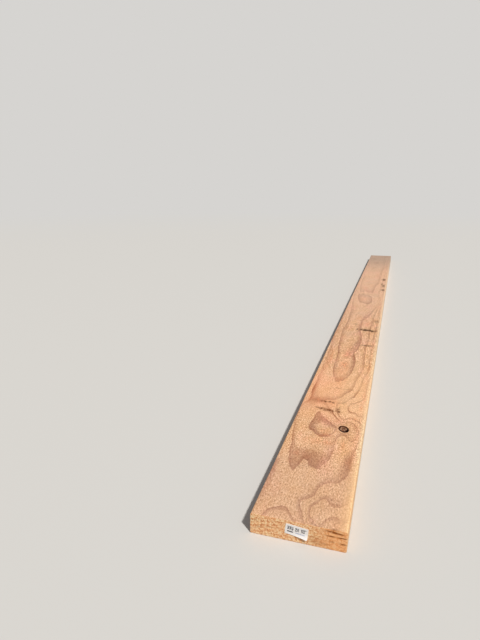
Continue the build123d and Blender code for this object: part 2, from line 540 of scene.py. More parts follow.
class Nodes:
    """A node tree being wired up."""

    def __init__(self, tree):
        self.tree = tree

    def feed(self, socket, value):
        if isinstance(value, Wire):
            self.tree.links.new(value.socket, socket)
        elif value is not None:
            if socket.type == "RGBA" and len(value) == 3:
                value = (*value, 1.0)
            socket.default_value = value

    def node(self, kind, feeds=(), **settings):
        made = self.tree.nodes.new(kind)
        for name, value in settings.items():
            setattr(made, name, value)
        for name, value in dict(feeds).items():
            self.feed(made.inputs[name], value)
        return made

    def out(self, kind, socket, feeds=(), **settings):
        return Wire(self, self.node(kind, feeds, **settings).outputs[socket])

    def math(self, operation, *values):
        feeds = dict(enumerate(values))
        return self.out("ShaderNodeMath", 0, feeds, operation=operation)

    def scaled(self, vector, x=1.0, y=1.0):
        """The vector made shorter in x or y, which draws a pattern out that way."""
        feeds = {0: vector, 1: (x, y, 1.0)}
        return self.out("ShaderNodeVectorMath", 0, feeds, operation="MULTIPLY")

    def parts(self, vector):
        split = self.node("ShaderNodeSeparateXYZ", {0: vector})
        return [Wire(self, socket) for socket in split.outputs]

    def joined(self, x, y, z):
        return self.out("ShaderNodeCombineXYZ", 0, {0: x, 1: y, 2: z})

    def between(self, value, low, high, to_low=0.0, to_high=1.0, smooth=True):
        """value brought from low..high to to_low..to_high, and held there."""
        feeds = {0: value, 1: low, 2: high, 3: to_low, 4: to_high}
        shape = "SMOOTHSTEP" if smooth else "LINEAR"
        return self.out("ShaderNodeMapRange", 0, feeds, interpolation_type=shape)

    def noise(self, vector, scale, detail=2.0, roughness=0.5):
        """Clouds from 0 to 1, with scale of them to the metre."""
        feeds = {"Vector": vector, "Scale": scale, "Detail": detail, "Roughness": roughness}
        return self.out("ShaderNodeTexNoise", "Fac", feeds)

    def bump(self, height, strength, distance):
        feeds = {"Height": height, "Strength": strength, "Distance": distance}
        return self.out("ShaderNodeBump", "Normal", feeds)

    def mix(self, share, first, second, blend="MIX"):
        made = self.node("ShaderNodeMix", data_type="RGBA", blend_type=blend)
        made.clamp_factor = True
        # The node's sockets for colours come after those for numbers and vectors
        for index, value in ((0, share), (6, first), (7, second)):
            self.feed(made.inputs[index], value)
        return Wire(self, made.outputs[2])

    def layers(self, colour, *layers):
        """Lays each layer over the last: its share, its colour, and how it blends."""
        for share, laid, *blend in layers:
            colour = self.mix(share, colour, laid, *blend)
        return colour

    def blend_shaders(self, share, first, second, last):
        """Mixes two shaders by the share of the second, and feeds the last node."""
        links = self.tree.links
        blend = self.node("ShaderNodeMixShader", {0: share})
        links.new(first.outputs[0], blend.inputs[1])
        links.new(second.outputs[0], blend.inputs[2])
        links.new(blend.outputs[0], self.tree.nodes[last].inputs[0])

    def group(self, name, **feeds):
        made = self.node("ShaderNodeGroup", node_tree=bpy.data.node_groups[name])
        made.label = name
        for key, value in feeds.items():
            self.feed(made.inputs[key.replace("_", " ").title()], value)
        return {socket.name: Wire(self, socket) for socket in made.outputs}


def start_group(name, inputs, outputs):
    """An empty node group with its sockets: inputs as {name: default}, outputs as names."""
    tree = bpy.data.node_groups.new(name, "ShaderNodeTree")
    for key, default in inputs.items():
        kind = "NodeSocketVector" if isinstance(default, tuple) else "NodeSocketFloat"
        socket = tree.interface.new_socket(key, in_out="INPUT", socket_type=kind)
        socket.default_value = default
    for key in outputs:
        tree.interface.new_socket(key, in_out="OUTPUT", socket_type="NodeSocketFloat")
    nodes = Nodes(tree)
    entry = tree.nodes.new("NodeGroupInput")
    return nodes, {s.name: Wire(nodes, s) for s in entry.outputs if s.name}


def end_group(nodes, **results):
    last = nodes.tree.nodes.new("NodeGroupOutput")
    for key, value in results.items():
        nodes.feed(last.inputs[key.replace("_", " ").title()], value)
    lay_out(nodes.tree)


def lay_out(tree, column_step=220, row_step=190):
    """Sets the nodes in columns, each to the right of all that feed it."""
    column = {node: 0 for node in tree.nodes}
    for _ in tree.nodes:
        moved = False
        for link in tree.links:
            least = column[link.from_node] + 1
            if column[link.to_node] < least:
                column[link.to_node], moved = least, True
        if not moved:
            break
    filled = {}
    for node, place in column.items():
        node.location = (place * column_step, -filled.get(place, 0) * row_step)
        filled[place] = filled.get(place, 0) + 1


# Node groups, the effects that the materials share


def make_plank_place_group():
    """Across, along and depth in mm, as the tables have them."""
    nodes, given = start_group(
        "Plank Place", {"Position": (0.0, 0.0, 0.0)}, ("Across", "Along", "Depth")
    )
    x, y, z = nodes.parts(given["Position"])
    end_group(
        nodes,
        across=(x - plank_low.x) / MM,
        along=(y - plank_low.y) / MM,
        depth=(plank_high.z - z) / MM,
    )


def make_spot_group():
    """One soft spot, strongest in its middle."""
    sizes = {
        "Across": 0.0,
        "Along": 0.0,
        "Middle Across": 0.0,
        "Middle Along": 0.0,
        "Half Across": 1.0,
        "Half Along": 1.0,
        "Strength": 1.0,
    }
    nodes, given = start_group("Spot", sizes, ("Spot",))
    u = (given["Across"] - given["Middle Across"]) / given["Half Across"]
    v = (given["Along"] - given["Middle Along"]) / given["Half Along"]
    bell = nodes.math("EXPONENT", (u * u + v * v) * -1.0)
    end_group(nodes, spot=bell * given["Strength"])


def all_spots(nodes, across, along, rows):
    """Adds up soft spots, one group node for each row."""
    total = 0.0
    for _, middle_across, middle_along, half_across, half_along, strength in rows:
        spot = nodes.group(
            "Spot",
            across=across,
            along=along,
            middle_across=middle_across,
            middle_along=middle_along,
            half_across=half_across,
            half_along=half_along,
            strength=strength,
        )
        total = spot["Spot"] + total
    return total


def make_growth_rings_group():
    """The latewood of the rings, and the thin line along its outer edge."""
    inputs = {"Level": 0.0, "Position": (0.0, 0.0, 0.0), "Ripple": 1.0}
    nodes, given = start_group("Growth Rings", inputs, ("Latewood", "Outer Edge"))
    stretched = nodes.scaled(given["Position"], y=0.3)
    coarse = nodes.noise(stretched, 90.0, 2.0) - 0.5
    combed = nodes.scaled(given["Position"], y=0.08)
    fine = nodes.noise(combed, 700.0, 1.0) - 0.5
    level = given["Level"] + (coarse * 0.15 + fine * 0.06) * given["Ripple"]
    phase = nodes.math("FRACT", level)
    edge = nodes.between(phase, LATEWOOD_END, 1.0, 1.0, 0.0)
    end_group(
        nodes,
        latewood=nodes.between(phase, LATEWOOD_START, LATEWOOD_FULL) * edge,
        outer_edge=nodes.between(phase, EDGE_START, EDGE_FULL) * edge,
    )


def make_wood_fibres_group():
    """Streaks that run along the stem, so they show as specks where it is cut across."""
    inputs = {"Position": (0.0, 0.0, 0.0), "Width": 1.4}
    outputs = ("Streaks", "Fine Fibres", "Flecks", "Mottle", "Coarse Mottle", "Pits")
    nodes, given = start_group("Wood Fibres", inputs, outputs)
    narrow = 1000.0 / given["Width"]
    x, y, z = nodes.parts(given["Position"])
    wander = (nodes.noise(given["Position"], 6.0, 1.0) - 0.5) * 0.006
    line = nodes.joined((x + wander) * narrow, y * 16.0, z * narrow)
    streaks = nodes.noise(line, 1.0, 3.0, 0.6)
    thin = nodes.joined((x + wander) * 2400.0, y * 75.0, z * 2400.0)
    fine = nodes.noise(thin, 1.0, 2.0, 0.6)
    short = nodes.joined(x * 700.0, y * 130.0, z * 700.0)
    flecks = nodes.between(nodes.noise(short, 1.0, 1.0), 0.62, 0.74)
    spread = nodes.scaled(given["Position"], y=0.42)
    mottle = nodes.noise(spread, 310.0, 3.0, 0.9)
    drawn_out = nodes.scaled(given["Position"], y=0.22)
    coarse = nodes.noise(drawn_out, 180.0, 2.0, 0.8)
    cells = nodes.out("ShaderNodeTexVoronoi", "Distance", {"Vector": spread, "Scale": 85.0})
    pits = nodes.between(cells, 0.10, 0.05)
    end_group(
        nodes,
        streaks=streaks,
        fine_fibres=fine,
        flecks=flecks,
        mottle=mottle,
        coarse_mottle=coarse,
        pits=pits,
    )


def make_dead_knot_group():
    """The branch that died: a cone of its own rings, from the pith up through both faces."""
    nodes, given = start_group(
        "Dead Knot",
        {"Position": (0.0, 0.0, 0.0)},
        ("Knot", "Rim", "Knot Rings", "Cracks", "Halo", "Bark Gap"),
    )
    place = nodes.group("Plank Place", position=given["Position"])
    depth = place["Depth"]
    share = 1.0 - depth / PITH_DEPTH
    x = place["Across"] - KNOT_ACROSS + depth * ((KNOT_ACROSS - PITH_ACROSS) / PITH_DEPTH)
    y = place["Along"] - KNOT_ALONG + depth * KNOT_SLANT
    turn_cos, turn_sin = math.cos(KNOT_TURN), math.sin(KNOT_TURN)
    u = x * turn_cos + y * turn_sin
    v = y * turn_cos - x * turn_sin
    ripple = (nodes.noise(given["Position"], 160.0, 2.0) - 0.5) * 0.16
    radius = nodes.math(
        "SQRT", (u / KNOT_HALF_ACROSS) ** 2.0 + (v / KNOT_HALF_ALONG) ** 2.0
    )
    radius = radius / share + ripple
    gap_u = (u + BARK_GAP_ACROSS) / (KNOT_HALF_ACROSS - BARK_INSET)
    gap_v = (v - BARK_GAP_ALONG) / (KNOT_HALF_ALONG - BARK_INSET)
    kept = nodes.math("SQRT", gap_u * gap_u + gap_v * gap_v)
    rings = nodes.math("SINE", (radius + ripple * 0.8) * 34.0) * 0.5 + 0.5
    angle = nodes.math("ARCTAN2", v, u)
    spread = nodes.joined(angle * 2.6, radius * 0.5, 0.0)
    cracks = nodes.between(nodes.noise(spread, 2.2, 1.0), 0.60, 0.68)
    cracks = cracks * nodes.between(radius, 0.12, 0.3) * nodes.between(radius, 0.9, 0.7)
    # The bark gap's hole, and its walls below the dish: painted shade, nearly black
    gap = nodes.between(kept, 0.82, 0.90) * nodes.between(radius, 0.98, 0.92)
    wall_shade = nodes.between(depth, 1.1, 1.6) * nodes.between(depth, 12.0, 8.0)
    end_group(
        nodes,
        knot=nodes.between(radius, 1.03, 0.94),
        rim=nodes.between(radius, 0.62, 0.80) * nodes.between(radius, 1.10, 0.98),
        knot_rings=rings,
        cracks=cracks,
        halo=nodes.between(radius, 2.0, 1.0),
        bark_gap=nodes.math("MAXIMUM", gap, wall_shade * nodes.between(radius, 1.1, 1.0)),
    )


def make_edge_wear_and_highlight_group():
    """Wear along the long edges, in a ragged band twice as wide on the right, where it is partly a
    painted highlight.
    """
    inputs = {"Position": (0.0, 0.0, 0.0), "Band": 6.0}
    nodes, given = start_group("Edge Wear", inputs, ("Wear", "Right Side"))
    place = nodes.group("Plank Place", position=given["Position"])
    width, thickness = PLANK_WIDTH / MM, PLANK_THICKNESS / MM
    from_side = nodes.math("MINIMUM", place["Across"], width - place["Across"])
    from_face = nodes.math("MINIMUM", place["Depth"], thickness - place["Depth"])
    distance = nodes.math("SQRT", from_side * from_side + from_face * from_face)
    stretched = nodes.scaled(given["Position"], y=0.3)
    ragged = (nodes.noise(stretched, 90.0, 3.0) - 0.5) * 8.0
    # The right side, where the wider band is partly a painted highlight
    right = nodes.between(place["Across"], 0.5 * width, 0.8 * width)
    band = given["Band"] * (right + 1.0)
    wear = nodes.between(distance + ragged, band, 0.0)
    end_group(nodes, wear=wear, right_side=right)


def make_handling_dust_group():
    """Thin dust that lies in clouds."""
    inputs = {"Position": (0.0, 0.0, 0.0), "Amount": 0.3}
    nodes, given = start_group("Handling Dust", inputs, ("Dust",))
    cloud = nodes.noise(given["Position"], 9.0, 4.0, 0.6)
    grit = nodes.noise(given["Position"], 700.0, 1.0)
    dust = nodes.between(cloud, 0.42, 0.75) * nodes.between(grit, 0.3, 0.75)
    end_group(nodes, dust=dust * given["Amount"])


def make_handling_marks_group():
    """The marks on the upper face, broken up as the wood is rough."""
    nodes, given = start_group("Handling Marks", {"Position": (0.0, 0.0, 0.0)}, ("Marks",))
    place = nodes.group("Plank Place", position=given["Position"])
    total = all_spots(nodes, place["Across"], place["Along"], MARKS)
    rough = nodes.scaled(given["Position"], y=0.5)
    broken = nodes.between(nodes.noise(rough, 160.0, 3.0, 0.65), 0.3, 0.62)
    on_top = nodes.between(place["Depth"], 2.0, 0.5)
    end_group(nodes, marks=total * (broken * 0.75 + 0.25) * on_top)


# Modelling by operators


def pick(piece, kind, test):
    """In edit mode, selects only the verts, edges or faces that pass the test."""
    kinds = ("verts", "edges", "faces")
    bpy.context.tool_settings.mesh_select_mode = [kind == k for k in kinds]
    bpy.ops.mesh.select_all(action="DESELECT")
    mesh = bmesh.from_edit_mesh(piece.data)
    for part in getattr(mesh, kind):
        if test(part):
            part.select_set(True)
    bmesh.update_edit_mesh(piece.data)


def start_piece(name):
    """Names the primitive that was just added, and applies its size and place."""
    piece = bpy.context.active_object
    piece.name = piece.data.name = name
    bpy.ops.object.transform_apply(location=True, rotation=True, scale=True)
    return piece


def apply_modifier(piece, kind, **settings):
    modifier = piece.modifiers.new(kind.title(), kind)
    for key, value in settings.items():
        setattr(modifier, key, value)
    bpy.ops.object.modifier_apply(modifier=modifier.name)


def vertex_places(piece):
    """Across, along and depth of every vertex, in mm."""
    places = np.empty(len(piece.data.vertices) * 3)
    piece.data.vertices.foreach_get("co", places)
    x, y, z = places.reshape(-1, 3).T
    return (x - plank_low.x) / MM, (y - plank_low.y) / MM, (plank_high.z - z) / MM


def displace(piece, name, weights, strength, direction="NORMAL"):
    """Pushes the vertices by strength, in metres, where weights is 1."""
    group = piece.vertex_groups.new(name=name)
    steps = np.rint(np.clip(weights, 0, 1) * DISPLACE_STEPS).astype(int)
    for step in range(1, DISPLACE_STEPS + 1):
        chosen = np.flatnonzero(steps == step)
        if len(chosen):
            group.add(chosen.tolist(), step / DISPLACE_STEPS, "REPLACE")
    apply_modifier(
        piece,
        "DISPLACE",
        strength=strength,
        mid_level=0.0,
        direction=direction,
        vertex_group=name,
    )
    piece.vertex_groups.clear()


def finish_piece(piece, slot, *replaced):
    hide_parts(*replaced)
    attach(piece, "root")
    piece.select_set(False)


def cut_across(points, normal):
    """Cuts everything with planes through the points."""
    for point in points:
        bpy.ops.mesh.select_all(action="SELECT")
        bpy.ops.mesh.bisect(plane_co=point, plane_no=normal)


def is_lengthwise(edge):
    run = edge.verts[1].co - edge.verts[0].co
    return abs(run.y) > NEARLY and abs(run.x) + abs(run.z) < NEARLY


def is_end_edge(edge):
    """True between an end and one of the long faces."""
    lengthwise = sorted(abs(face.normal.y) for face in edge.link_faces)
    return len(lengthwise) == 2 and lengthwise[0] < 0.1 and lengthwise[1] > 0.9


def subdivide_lengthwise(piece, start, end, longest):
    """Cuts the long edges between start and end into steps of up to longest."""
    low = plank_low.y + start * MM - NEARLY
    high = plank_low.y + end * MM + NEARLY

    def inside(edge):
        return is_lengthwise(edge) and all(low < v.co.y < high for v in edge.verts)

    pick(piece, "edges", inside)
    bpy.ops.mesh.subdivide(number_cuts=math.ceil((end - start) / longest) - 1)


def is_by_the_knot(face):
    place = face.calc_center_median() - plank_low
    u, v = knot_offset(place.x / MM, place.y / MM)
    radius = math.hypot(u / KNOT_HALF_ACROSS, v / KNOT_HALF_ALONG)
    return radius < FINER_REACH and face.normal.z > 0.9


# Settings, shown in the panel


def colour_setting(name, description, red, green, blue):
    """A colour that the panel offers, given as it looks on screen."""
    return FloatVectorProperty(
        name=name, description=description, default=tone(red, green, blue), subtype="COLOR"
    )


class PlankSettings(bpy.types.PropertyGroup):
    arris_radius: FloatProperty(
        name="Arris Radius",
        description="Radius of the four eased long edges",
        default=3 * MM,
        min=0.5 * MM,
        unit="LENGTH",
    )
    grain_relief: FloatProperty(
        name="Grain Relief",
        description="How far the hard latewood stands out of the dressed face",
        default=0.12 * MM,
        unit="LENGTH",
    )
    earlywood: colour_setting("Earlywood", "Colour of the pale part of each ring", 234, 184, 143)
    latewood: colour_setting("Latewood", "Colour of the dark part of each ring", 186, 132, 101)
    knot_wood: colour_setting("Knot Wood", "Colour of the dead knot", 142, 92, 62)
    end_grain: colour_setting("End Grain", "Colour of the docked ends", 255, 194, 140)


class TagSettings(bpy.types.PropertyGroup):
    card: colour_setting("Card", "Colour of the bare card", 247, 244, 243)
    ink: colour_setting("Ink", "Colour of the dark bars", 34, 36, 56)
    fine_ink: colour_setting("Fine Ink", "Colour of the small bars", 96, 122, 176)


class StapleSettings(bpy.types.PropertyGroup):
    zinc: colour_setting("Zinc", "Colour of the galvanised wire", 186, 189, 193)


class StageSettings(bpy.types.PropertyGroup):
    floor: colour_setting("Floor", "Colour of the floor", 214, 212, 209)
    bounce: colour_setting("Bounce", "Colour of the light thrown back by the floor", 172, 166, 158)
    sky_strength: FloatProperty(
        name="Sky Strength",
        description="Strength of the even light from all sides",
        default=0.25,
        min=0.0,
    )
    key_strength: FloatProperty(
        name="Key Strength",
        description="Strength of the soft key light",
        default=3.28,
        min=0.0,
    )


# The wood's materials


def start_material(name):
    material = bpy.data.materials.new(name)
    material.use_nodes = True
    nodes = Nodes(material.node_tree)
    shader = material.node_tree.nodes["Principled BSDF"]
    position = nodes.out("ShaderNodeTexCoord", "Object")
    return material, nodes, shader, position


def knot_colour(nodes, knot, position, knot_wood):
    """The dead knot's rings, cracks and dark rim, with pale painted highlights and painted shade in
    its bark gap.
    """
    dark = nodes.between(nodes.noise(position, 240.0, 1.0), 0.46, 0.40)
    # Painted highlights: small pale specks inside the knot
    highlight_specks = nodes.between(nodes.noise(position, 210.0, 1.0), 0.53, 0.58)
    return nodes.layers(
        knot_wood,
        (knot["Knot Rings"] * 0.5, tone(78, 40, 18)),
        (dark * 0.75, tone(66, 34, 18)),
        (highlight_specks * 0.5, tone(214, 178, 150)),
        (knot["Cracks"] * 0.9, tone(24, 14, 10)),
        (knot["Rim"], tone(66, 28, 6)),
        # Painted shade: the bark gap's hole and walls made nearly black
        (knot["Bark Gap"], tone(34, 12, 2)),
    )


class Patterns:
    """Bands, clouds and spots placed on the plank, for the colours of the dressed timber."""

    def __init__(self, nodes, position):
        self.nodes = nodes
        self.place = nodes.group("Plank Place", position=position)
        self.drawn_out = nodes.scaled(position, y=0.3)

    def across(self, low, high, *levels):
        return self.nodes.between(self.place["Across"], low, high, *levels)

    def along(self, low, high, *levels):
        return self.nodes.between(self.place["Along"], low, high, *levels)

    def clouds(self, scale, detail, roughness, *levels):
        noise = self.nodes.noise(self.drawn_out, scale, detail, roughness)
        return self.nodes.between(noise, *levels)

    def spots(self, rows):
        return all_spots(self.nodes, self.place["Across"], self.place["Along"], rows)


def ring_colour(patterns, rings, settings):
    """The rings' colour, with the redder, greyer and yellower patches."""
    strength = patterns.clouds(14.0, 2.0, 0.5, 0.3, 0.7, 0.72, 1.0)
    strength = strength * patterns.along(1600, 2400, 1.0, 0.55)
    strength = strength * (1.0 - patterns.spots(QUIET_PLACES))
    olive = patterns.clouds(26.0, 3.0, 0.6, 0.40, 0.62)
    pink = patterns.clouds(21.0, 2.0, 0.5, 0.50, 0.66)
    broken = patterns.clouds(70.0, 3.0, 0.7, 0.36, 0.62, 0.25, 1.15)
    orange = patterns.across(120, 160) * patterns.across(188, 174)
    return patterns.nodes.layers(
        settings.earlywood,
        (rings["Latewood"] * strength, settings.latewood),
        (rings["Outer Edge"] * 0.5, tone(162, 96, 62)),
        (olive * 0.45, tone(244, 236, 216), "MULTIPLY"),
        (pink * 0.4, tone(240, 176, 145)),
        (patterns.spots(WARM_PATCHES) * broken * 0.5, tone(248, 176, 136), "MULTIPLY"),
        (patterns.spots(MAUVE_PATCHES) * broken * 0.5, tone(218, 196, 198), "MULTIPLY"),
        (patterns.spots(OLIVE_PATCHES) * broken * 0.5, tone(240, 236, 200), "MULTIPLY"),
        (orange * 0.2, tone(248, 188, 134)),
    )


def speck_tint(patterns, fibres):
    """Light and dark specks: the dark ones are redder than the wood, the pale ones whiter."""
    nodes = patterns.nodes
    light = nodes.between(fibres["Mottle"], 0.34, 0.66, 0.28, 1.72, smooth=False)
    light = light * nodes.between(fibres["Streaks"], 0.35, 0.65, 0.92, 1.08)
    light = light * nodes.between(fibres["Fine Fibres"], 0.35, 0.65, 0.9, 1.1)
    lean = nodes.between(fibres["Coarse Mottle"], 0.34, 0.66, -1.0, 1.0, smooth=False)
    light = light * (lean * patterns.along(400, 1100, 0.06, 0.33) + 1.0)
    return nodes.joined(light**0.7, light, light**1.3)


def worn_and_lit_edges(patterns, edge, tint):
    """How pale the long edges are: real wear, with a painted highlight on the right arris and
    painted light on the right side face; and their colour.
    """
    nodes = patterns.nodes
    # Painted highlight: the right arris is made far paler than the left
    wear = edge["Wear"] * (edge["Right Side"] * 0.82 + 0.08)
    # Painted light: the right side face is made pale as if lit
    wear = nodes.math("MAXIMUM", wear, patterns.across(187.5, 189.5) * 0.85)
    worn = nodes.mix(patterns.along(350, 100), tone(247, 211, 167), tone(249, 208, 160))
    return wear, nodes.mix(0.6, worn, tint, "MULTIPLY")


def make_dressed_timber(settings):
    material, nodes, shader, position = start_material("Dressed Timber")
    level = nodes.out("ShaderNodeAttribute", "Fac", attribute_name="ring_level")
    rings = nodes.group("Growth Rings", level=level, position=position, ripple=0.8)
    fibres = nodes.group("Wood Fibres", position=position, width=1.4)
    knot = nodes.group("Dead Knot", position=position)
    edge = nodes.group("Edge Wear", position=position, band=7.0)
    dust = nodes.group("Handling Dust", position=position, amount=0.35)["Dust"]
    dust = dust * (1.0 - knot["Knot"])
    marks = nodes.group("Handling Marks", position=position)["Marks"]
    patterns = Patterns(nodes, position)
    across, along = patterns.across, patterns.along

    wood = ring_colour(patterns, rings, settings)
    tint = speck_tint(patterns, fibres)
    wear, worn = worn_and_lit_edges(patterns, edge, tint)
    # Brighter, duller and handled lengths, and a greyer far end
    bright = along(420, 540) * along(1000, 700)
    brighter = nodes.mix(across(88, 122), tone(255, 184, 138), tone(255, 204, 158))
    strong = rings["Latewood"] ** 4.0 * patterns.spots(STRONG_EDGES)
    near_right = across(164, 178) * along(300, 140)
    stain = nodes.mix(along(800, 1200), tone(110, 60, 18), tone(84, 54, 26))
    colour = nodes.layers(
        wood,
        (1.0, tint, "MULTIPLY"),
        (fibres["Flecks"] * 0.6, tone(150, 96, 62)),
        (fibres["Pits"] * 0.35, tone(120, 78, 52)),
        # Worn edges, with a painted highlight on the right arris and painted light on the right
        # side face
        (wear, worn),
        (bright * 0.35, brighter),
        (strong * 0.4, tone(160, 84, 44)),
        (along(950, 1250), tone(250, 251, 255), "MULTIPLY"),
        (along(1200, 2300) * 0.32, tone(232, 194, 172)),
        (near_right * 0.45, tone(255, 202, 146)),
        (along(320, 120) * (1.0 - wear) * 0.3, tone(204, 164, 138)),
        (along(2950, 4000) * 0.72, tone(170, 148, 132)),
        (knot["Halo"] * 0.22, tone(176, 112, 72)),
        (knot["Knot"], knot_colour(nodes, knot, position, settings.knot_wood)),
        (marks, stain),
        (dust, tone(190, 172, 152)),
    )
    nodes.feed(shader.inputs["Base Color"], colour)

    rough = nodes.between(fibres["Streaks"], 0.3, 0.7, 0.66, 0.56, smooth=False)
    nodes.feed(shader.inputs["Roughness"], rough + dust * 0.25)
    shader.inputs["Specular IOR Level"].default_value = 0.12
    height = fibres["Fine Fibres"] * 0.5 + fibres["Streaks"] + rings["Latewood"] * 0.4
    height = height - knot["Cracks"] * knot["Knot"] * 2.0
    nodes.feed(shader.inputs["Normal"], nodes.bump(height, 0.35, 0.35 * MM))
    lay_out(material.node_tree)
    return material


def make_end_grain(settings):
    material, nodes, shader, position = start_material("End Grain")
    level = nodes.out("ShaderNodeAttribute", "Fac", attribute_name="ring_level")
    rings = nodes.group("Growth Rings", level=level, position=position, ripple=0.6)
    edge = nodes.group("Edge Wear", position=position, band=3.0)
    dust = nodes.group("Handling Dust", position=position, amount=0.3)["Dust"]
    place = nodes.group("Plank Place", position=position)

    soft = nodes.noise(position, 34.0, 3.0, 0.6)
    # Torn fibres, drawn out sideways by the docking saw
    sideways = nodes.scaled(position, x=0.75)
    torn = nodes.noise(sideways, 340.0, 3.0, 0.8)
    speck = nodes.noise(position, 230.0, 3.0, 0.9)
    patches = nodes.noise(sideways, 120.0, 2.0, 0.6)
    dark = nodes.between(speck, 0.5, 0.39) + nodes.between(torn, 0.5, 0.34) * 0.4
    dark = dark + nodes.between(patches, 0.48, 0.36) * 0.3
    pale = nodes.between(speck, 0.5, 0.61) + nodes.between(torn, 0.5, 0.66) * 0.4
    pale = pale + nodes.between(patches, 0.52, 0.64) * 0.35
    ragged = nodes.between(nodes.noise(sideways, 230.0, 3.0, 0.6), 0.36, 0.56)
    resin = all_spots(nodes, place["Across"], place["Depth"], RESIN)
    colour = nodes.layers(
        settings.end_grain,
        (rings["Latewood"] * 0.75, tone(236, 150, 92)),
        (nodes.between(soft, 0.4, 0.7) * 0.55, tone(255, 218, 160)),
        (dark, tone(200, 120, 72)),
        (pale, tone(255, 230, 186)),
        (nodes.between(place["Across"], 112.0, 160.0) * 0.45, tone(255, 170, 96)),
        (resin * (ragged * 0.6 + 0.4), tone(142, 72, 10)),
        (rings["Outer Edge"] * 0.75, tone(190, 112, 62)),
        # Paler edges; the band is wider on the right, where it is partly a painted highlight
        (edge["Wear"] * 0.35, tone(248, 206, 156)),
        (dust, tone(180, 160, 138)),
    )
    nodes.feed(shader.inputs["Base Color"], colour)
    shader.inputs["Roughness"].default_value = 0.82
    shader.inputs["Specular IOR Level"].default_value = 0.2
    x, _, z = nodes.parts(position)
    kerf = nodes.math("SINE", (z + x * 0.22) * 2600.0 + soft * 6.0)
    bump = nodes.bump(kerf * 0.2 + speck + torn, 0.6, 0.4 * MM)
    nodes.feed(shader.inputs["Normal"], bump)
    lay_out(material.node_tree)
    return material


# The plank


def fold_bake_map(piece):
    """Lays the long faces side by side in lengths, so that a square image suits a plank."""
    layer = piece.data.uv_layers.new(name="OFBake")
    # In shares of the image: the gap between lengths, and their bottom and height
    gap, bottom, height = 0.004, 0.016, 0.968
    # Each long face: its lengths, the width of one, and the first one's left edge
    bands = {
        "top": (4, 0.146, 0.004),
        "bottom": (2, 0.098, 0.612),
        "right": (2, 0.028, 0.816),
        "left": (2, 0.028, 0.878),
    }
    ends = {"near": 0.008, "far": 0.508}
    end_left, end_width, end_height = 0.944, 0.052, 0.48
    half_width, half_thickness = PLANK_WIDTH / 2, PLANK_THICKNESS / 2
    # How much more a face measures when taken round its two eased edges
    rounding = 6 * MM
    middle = (plank_low + plank_high) / 2
    for face in piece.data.polygons:
        normal = face.normal
        along = face.center.y - plank_low.y
        for loop in face.loop_indices:
            place = piece.data.vertices[piece.data.loops[loop].vertex_index].co - middle
            if abs(normal.y) > 0.7:
                name = "near" if normal.y < 0 else "far"
                u = end_left + (place.z + half_thickness) / PLANK_THICKNESS * end_width
                v = ends[name] + (place.x + half_width) / PLANK_WIDTH * end_height
            else:
                if abs(normal.z) >= abs(normal.x):
                    name = "top" if normal.z > 0 else "bottom"
                    rest = half_thickness - abs(place.z)
                    round_it = math.copysign(abs(place.x) + rest, place.x)
                    girth = PLANK_WIDTH + rounding
                else:
                    name = "right" if normal.x > 0 else "left"
                    rest = half_width - abs(place.x)
                    round_it = math.copysign(abs(place.z) + rest, place.z)
                    girth = PLANK_THICKNESS + rounding
                lengths, width, left = bands[name]
                piece_length = PLANK_LENGTH / lengths
                index = min(int(along / piece_length), lengths - 1)
                u = left + index * (width + gap) + (round_it / girth + 0.5) * width
                share = (place.y + PLANK_LENGTH / 2) / piece_length - index
                v = bottom + share * height
            layer.data[loop].uv = (u, v)


def saw_stock(radius):
    """The stock with rounded long edges, in a grid that is finest at its end and its knot."""
    bpy.ops.mesh.primitive_cube_add(
        size=1,
        location=(plank_low + plank_high) / 2,
        scale=(PLANK_WIDTH, PLANK_LENGTH, PLANK_THICKNESS),
    )
    piece = start_piece("sawn_plank")
    bpy.ops.object.mode_set(mode="EDIT")
    pick(piece, "edges", is_lengthwise)
    bpy.ops.mesh.bevel(offset=radius, segments=5, profile=0.5, affect="EDGES")
    columns = np.linspace(plank_low.x + radius, plank_high.x - radius, ACROSS_CUTS)
    heights = np.linspace(plank_low.z + radius, plank_high.z - radius, DEPTH_CUTS)
    cut_across([(x, 0, 0) for x in columns], (1, 0, 0))
    cut_across([(0, 0, z) for z in heights], (0, 0, 1))
    pick(piece, "edges", is_end_edge)
    bpy.ops.mesh.bevel(offset=END_BEVEL, segments=2, profile=0.5, affect="EDGES")
    borders = [start for start, _, _ in STRETCHES] + [STRETCHES[-1][1]]
    cut_across([(0, plank_low.y + place * MM, 0) for place in borders], (0, 1, 0))
    for start, end, longest in STRETCHES:
        subdivide_lengthwise(piece, start, end, longest)
    pick(piece, "faces", is_by_the_knot)
    bpy.ops.mesh.subdivide(number_cuts=3)
    bpy.ops.object.mode_set(mode="OBJECT")
    return piece


def raise_grain(piece, relief):
    """Keeps each vertex's place in the rings, and pushes the latewood out of the long faces."""
    across, along, depth = vertex_places(piece)
    levels = ring_levels(across, along, depth)
    piece.data.attributes.new("ring_level", "FLOAT", "POINT")
    piece.data.attributes["ring_level"].data.foreach_set("value", levels)
    on_end = (along < 0.1) | (along > PLANK_LENGTH / MM - 0.1)
    u, v = knot_offset(across, along)
    past_the_knot = np.hypot(u / KNOT_HALF_ACROSS, v / KNOT_HALF_ALONG) > FLAT_REACH
    weights = latewood(levels) * ~on_end * past_the_knot
    displace(piece, "raised latewood", weights, relief)


